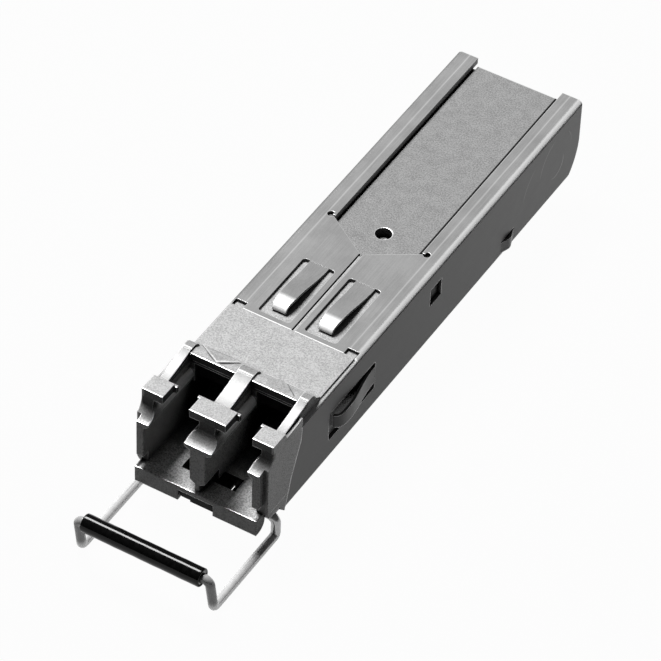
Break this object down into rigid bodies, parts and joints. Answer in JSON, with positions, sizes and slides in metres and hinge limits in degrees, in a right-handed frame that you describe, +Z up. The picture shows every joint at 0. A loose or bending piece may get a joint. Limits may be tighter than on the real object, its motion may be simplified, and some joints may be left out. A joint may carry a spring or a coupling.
{
  "type": "sfp transceiver",
  "caption": "Small pluggable optical transceiver: die-cast nose with two fibre ports, folded sheet-metal shell and a wire bail latch.",
  "frame": {"origin": "centre of the bottom face that the module slides and rests on", "axes": "+Y from the nose to the edge connector, +X across the module, +Z up"},
  "size_m": [0.0146, 0.0658, 0.012],
  "materials": {
    "die_cast_zinc": "satin nickel-plated die casting with a fine grain",
    "shell_steel": "brushed stainless sheet",
    "bright_wire": "bright nickel-plated spring wire",
    "black_tube": "smooth glossy black tubing",
    "latch_steel": "plain stainless",
    "spring_steel": "bright spring steel",
    "board_green": "green solder mask",
    "contact_gold": "hard gold plating",
    "chip_black": "moulded epoxy",
    "capacitor_tan": "sintered ceramic",
    "barrel_steel": "turned stainless",
    "ceramic_white": "polished zirconia",
    "can_gold": "gold-plated steel can",
    "flex_amber": "amber polyimide film"
  },
  "bodies": {
    "module": {"body_casting": "die_cast_zinc", "shell": "shell_steel", "latch_pivot_pin": "latch_steel", "board_screw": "latch_steel", "latch_spring": "spring_steel", "circuit_board": "board_green", "edge_contacts": "contact_gold", "driver_chip": "chip_black", "amplifier_chip": "chip_black", "memory_chip": "chip_black", "controller_chip": "chip_black", "power_inductors": "chip_black", "chip_capacitors": "capacitor_tan", "transmitter_barrel": "barrel_steel", "receiver_barrel": "barrel_steel", "optics_clamp": "barrel_steel", "transmitter_split_sleeve": "ceramic_white", "receiver_split_sleeve": "ceramic_white", "transmitter_fibre_stub": "ceramic_white", "receiver_fibre_stub": "ceramic_white", "transmitter_can": "can_gold", "receiver_can": "can_gold", "transmitter_flex_circuit": "flex_amber", "receiver_flex_circuit": "flex_amber"},
    "bail": {"bail_wire": "bright_wire", "bail_sleeve": "black_tube"},
    "latch": {"latch_lever": "latch_steel"}
  },
  "joints": [
    {"name": "bail_swing", "type": "hinge", "parent": "module", "child": "bail", "pos_m": [0, -0.02601, 0.00046], "axis": [-1, 0, 0], "range_deg": [0, 90]},
    {"name": "latch_tilt", "type": "hinge", "parent": "module", "child": "latch", "pos_m": [0, -0.02325, 0.0006], "axis": [-1, 0, 0], "range_deg": [0, 4.5]}
  ],
  "couplings": [
    {"joint": "latch_tilt", "follows": "bail_swing", "ratio": 0.049}
  ]
}
